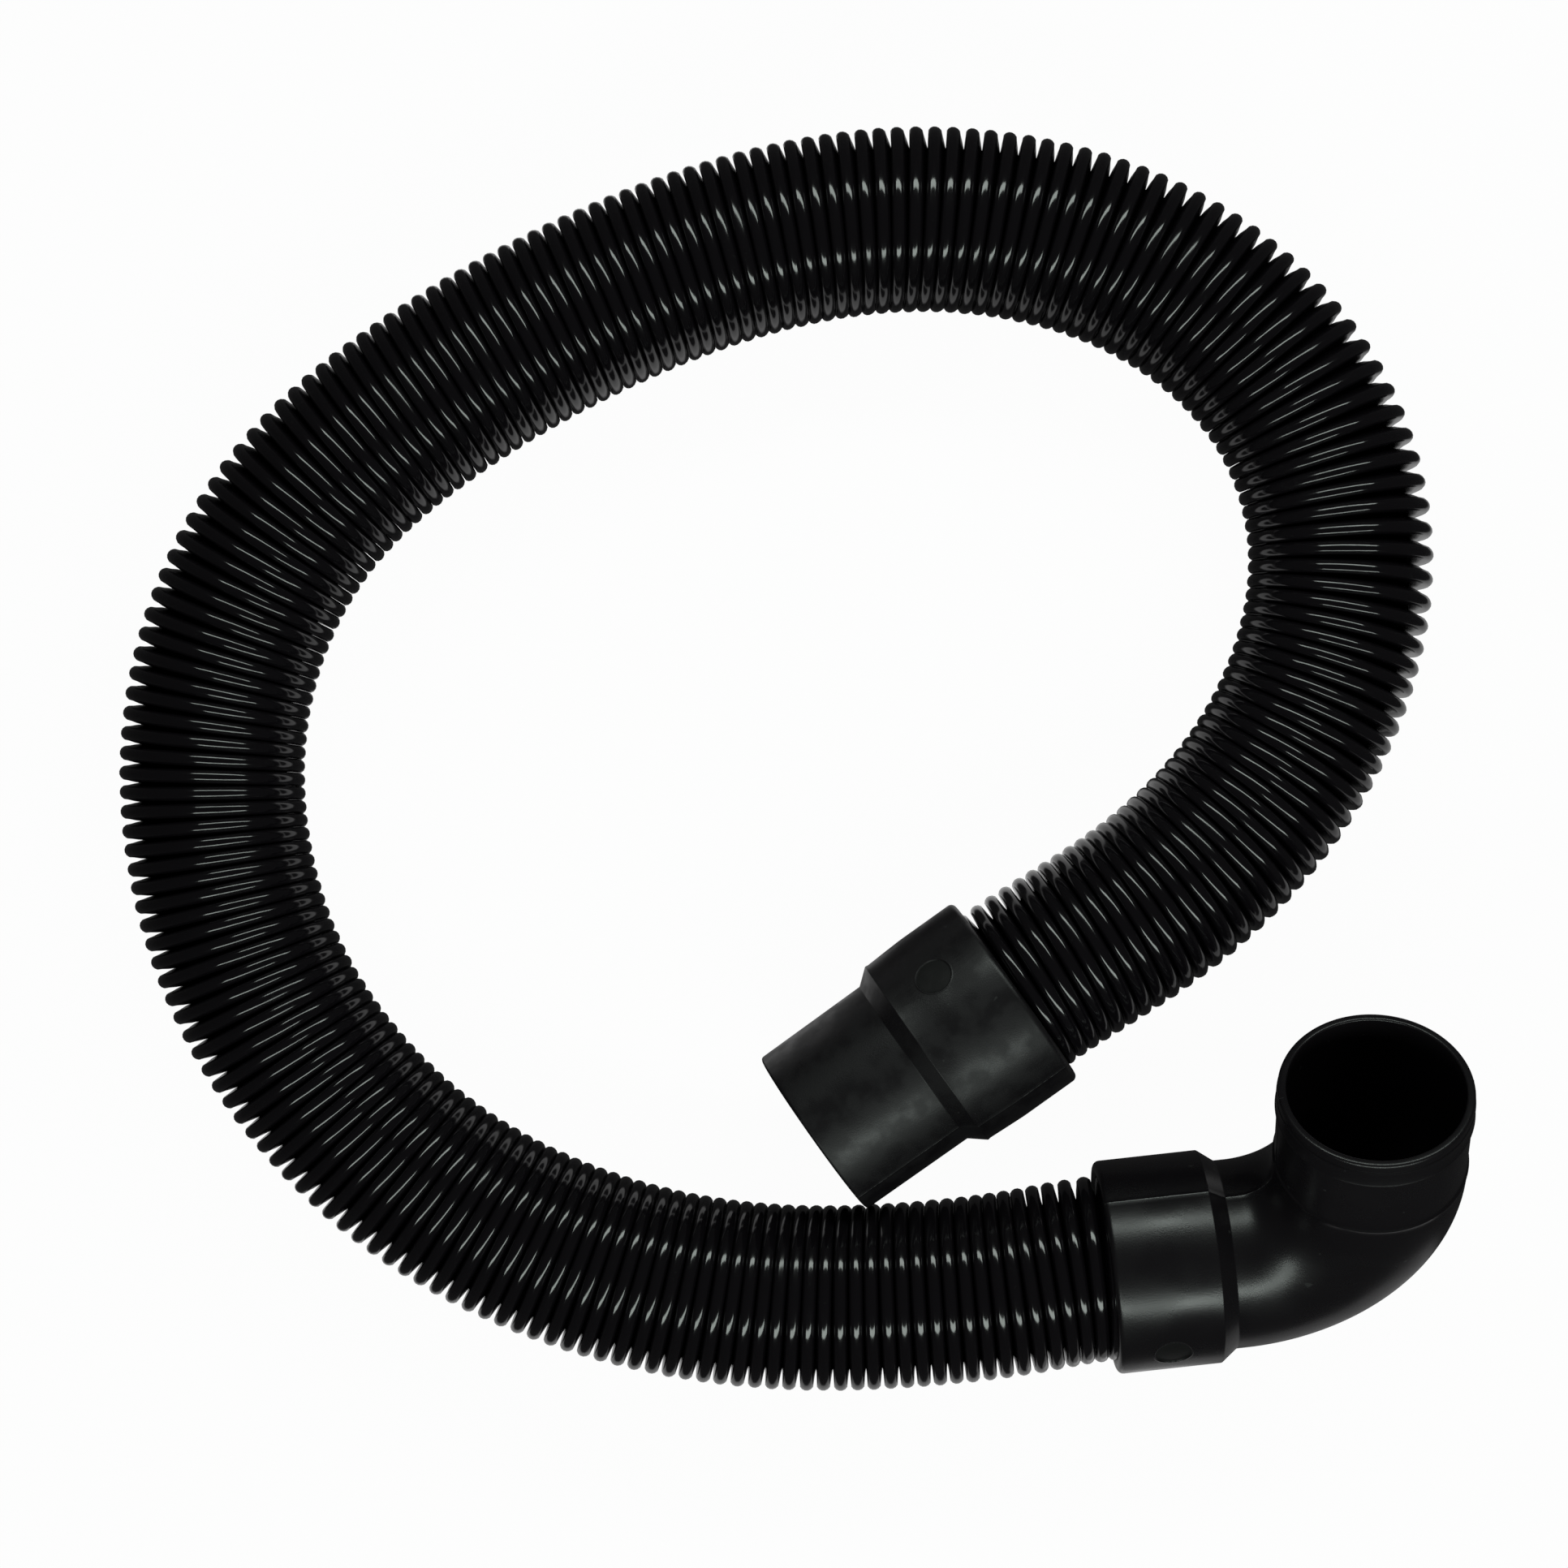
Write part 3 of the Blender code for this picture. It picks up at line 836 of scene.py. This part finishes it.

# %% [markdown]
# ## Finish of the cuffs
# The cuffs are moulded in a harder black plastic. The straight one has a dull satin skin, and the
# elbow a smoother one with tighter highlights. Both have fine grain, patches where the skin is
# smoother, scuffs, a few pale specks, and a parting line that is pale where it is torn. Inside
# each pressed stamp the colour is darkened, as painted shade.

# %% Satin black cuffs
STRAIGHT_BLACK = (0.0058, 0.0047, 0.0060, 1.0)
ELBOW_BLACK = (0.0088, 0.0074, 0.0090, 1.0)
# painted shade: the colour inside the pressed stamps, darker than the plastic round them
STAMP_SHADE = (0.001, 0.001, 0.001, 1.0)
CUFF_SCUFF = (0.060, 0.062, 0.061, 1.0)
SEAM_PALE = (0.13, 0.13, 0.13, 1.0)
CUFF_IOR = 1.5
SCRATCHES = (240, 3000, 900)  # to a metre, along each of the turned axes
SCRATCH_TURN = (0.3, 0.5, 0.9)


def cuff_finish(name, black, dull, clear, patches):
    """Satin black plastic with grain, scuffs and specks, a pale ragged parting line, and painted
    shade inside the pressed stamp. Its roughness runs from dull to clear in so many patches to a
    metre."""
    material, shader, wire = new_finish(name)
    place_on = wire.node("ShaderNodeTexCoord", output="Object")
    seam = wire.node("ShaderNodeAttribute", {"attribute_name": "seam"}, output="Fac")
    stamp = wire.node("ShaderNodeAttribute", {"attribute_name": "stamp"}, output="Fac")
    worn = noise(wire, place_on, 130.0, 3.0, 0.6)
    grain = noise(wire, place_on, 2600.0, 2.0)
    speck = above(noise(wire, place_on, 420.0, 1.0), 0.76, 0.80)
    scratch_where = wire.node("ShaderNodeMapping", None,
                              {"Vector": place_on, "Rotation": SCRATCH_TURN,
                               "Scale": SCRATCHES})
    scratch = above(noise(wire, scratch_where, 1.0, 2.0), 0.70, 0.78) * above(worn, 0.5, 0.62)
    ragged = above(noise(wire, place_on, 1100.0, 3.0, 0.7), 0.42, 0.62)
    torn = above(noise(wire, place_on, 75.0, 1.0), 0.42, 0.56)
    line = above(seam, 0.35, 0.9) * ragged * torn
    scuffed = blend_colour(wire, 0.4 * speck + 0.25 * scratch, black, CUFF_SCUFF)
    # painted shade: inside the pressed stamp the colour is darkened towards near black
    with_stamp_shade = blend_colour(wire, stamp * 0.85, scuffed, STAMP_SHADE)
    blend_colour(wire, line, with_stamp_shade, SEAM_PALE).into(shader, "Base Color")
    mottle = above(noise(wire, place_on, patches, 2.0), 0.35, 0.65)
    (dull + (clear - dull) * mottle + 0.06 * grain + 0.25 * stamp).into(shader, "Roughness")
    pebble = noise(wire, place_on, 700.0, 2.0)
    wave = noise(wire, place_on, 60.0, 1.0)
    height = 0.25 * grain + 0.15 * pebble + 1.6 * wave
    bump = wire.node("ShaderNodeBump", None,
                     {"Strength": 0.5, "Distance": 0.00016, "Height": height})
    bump.into(shader, "Normal")
    shader.inputs["IOR"].default_value = CUFF_IOR
    return material


straight.data.materials.append(cuff_finish("cuff_satin_black", STRAIGHT_BLACK, 0.50, 0.36, 160.0))
elbow.data.materials.append(cuff_finish("cuff_gloss_black", ELBOW_BLACK, 0.29, 0.20, 50.0))
print("cuff finishes made")

# %% [markdown]
# ## Floor and light
# The strokes on the ribs come from two long soft boxes, one on each side, that lean about 44
# degrees from upright and stand a little to the right. The room above is nearly dark, so the hose
# stays black between them. The floor is pure white to the camera and still takes a faint shadow.
# In the photograph the black plastic hardly mirrors it, so to glossy rays the floor is dim, with
# paler patches inside the loop, outside it and in front of the elbow, set for this view.

# %% White floor
FLOOR_SIZE = 6.0
GLOW_SHARE = 0.97  # this much of its white glows, and the rest takes light and shadow
MIRROR_GLOW = 0.03  # how bright the floor is in the black plastic
MIRROR_PATCHES = [  # brighter parts of it: middle, inner and outer radius, and brightness
    ((-0.080, 0.108, 0.0), 0.054, 0.080, 0.55),
    ((-0.065, 0.085, 0.0), 0.150, 0.180, 0.34),
    ((0.085, -0.085, 0.0), 0.000, 0.040, 0.24),
    ((0.018, -0.094, 0.0), 0.000, 0.020, 0.34),
]
MIRROR_SOFT = 0.010  # width of their soft edges


def white_floor():
    """A plane that is white to the camera and dim, with a few paler patches, in reflections."""
    bm = bmesh.new()
    bmesh.ops.create_grid(bm, x_segments=1, y_segments=1, size=FLOOR_SIZE / 2)
    floor = finished(bm, "floor", math.radians(30))
    material, shader, wire = new_finish("floor_white")
    shader.inputs["Base Color"].default_value = (0.9, 0.9, 0.9, 1.0)
    shader.inputs["Roughness"].default_value = 0.9
    shader.inputs["Specular IOR Level"].default_value = 0.0
    seen = wire.node("ShaderNodeLightPath", output="Is Camera Ray")
    glossy = wire.node("ShaderNodeLightPath", output="Is Glossy Ray")
    through = wire.node("ShaderNodeLightPath", output="Is Transmission Ray")
    place_on = wire.node("ShaderNodeTexCoord", output="Object")
    mirrored = MIRROR_GLOW
    for centre, inner, outer, level in MIRROR_PATCHES:
        off = wire.node("ShaderNodeVectorMath", {"operation": "DISTANCE"},
                        {0: place_on, 1: centre}, output="Value")
        mirrored = mirrored + level * (
            above(off, inner - MIRROR_SOFT, inner) - above(off, outer, outer + MIRROR_SOFT)
        )
    # the glow is dimmed by mixing it with nothing, because a factor may change over a surface
    white = wire.node("ShaderNodeEmission", None, {"Color": (1, 1, 1, 1), "Strength": 1.0})
    glow = wire.node("ShaderNodeMixShader", None, {0: 1.0 + (mirrored - 1.0) * glossy, 2: white})
    share = (seen + through) * GLOW_SHARE + glossy
    lit = Wire(wire.tree, shader.outputs["BSDF"])
    mixed = wire.node("ShaderNodeMixShader", None, {0: share, 1: lit, 2: glow})
    mixed.into(wire.tree.nodes["Material Output"], "Surface")
    floor.data.materials.append(material)


white_floor()
print("floor", FLOOR_SIZE, "m wide")

# %% Soft boxes and a dim room
BOX_LENGTH = 1.2
BOX_WIDTH = 0.18
BOX_DISTANCE = 1.0
BOX_SHIFT = 0.20  # the boxes stand this far to the right of the camera
BOX_LEAN = math.radians(44)
BOX_RADIANCE = 6.2
BOX_POWER = BOX_RADIANCE * math.pi * BOX_LENGTH * BOX_WIDTH
LAMP_TINT = (0.90, 1.0, 0.94)
ROOM_LEVEL = 0.03


def soft_box(name, lean):
    """A long lamp beside the camera, which faces the middle of the loop."""
    lamp = bpy.data.lights.new(name, "AREA")
    lamp.shape = "RECTANGLE"
    lamp.size = BOX_LENGTH
    lamp.size_y = BOX_WIDTH
    lamp.energy = BOX_POWER
    lamp.color = LAMP_TINT
    thing = bpy.data.objects.new(name, lamp)
    thing.rotation_euler = (lean, 0, 0)
    thing.location = (
        VIEW_MIDDLE[0] + BOX_SHIFT,
        VIEW_MIDDLE[1] - BOX_DISTANCE * math.sin(lean),
        HOSE_MIDDLE_HEIGHT + BOX_DISTANCE * math.cos(lean),
    )
    scene.collection.objects.link(thing)


soft_box("lamp_far", -BOX_LEAN)
soft_box("lamp_near", BOX_LEAN)

world = bpy.data.worlds.new("room")
scene.world = world
world.use_nodes = True
room = Wire(world.node_tree)
background = world.node_tree.nodes["Background"]
background.inputs["Color"].default_value = (1, 1, 1, 1)
seen = room.node("ShaderNodeLightPath", output="Is Camera Ray")
(ROOM_LEVEL + (1.0 - ROOM_LEVEL) * seen).into(background, "Strength")
print("two lamps of", round(BOX_POWER, 1), "W")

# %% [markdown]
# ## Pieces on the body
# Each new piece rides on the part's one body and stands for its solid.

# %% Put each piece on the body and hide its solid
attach(hose, "root")
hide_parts("corrugated_hose")
for cuff, node in ((straight, "straight_cuff"), (elbow, "elbow_cuff")):
    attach(cuff, "root")
    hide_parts(node)
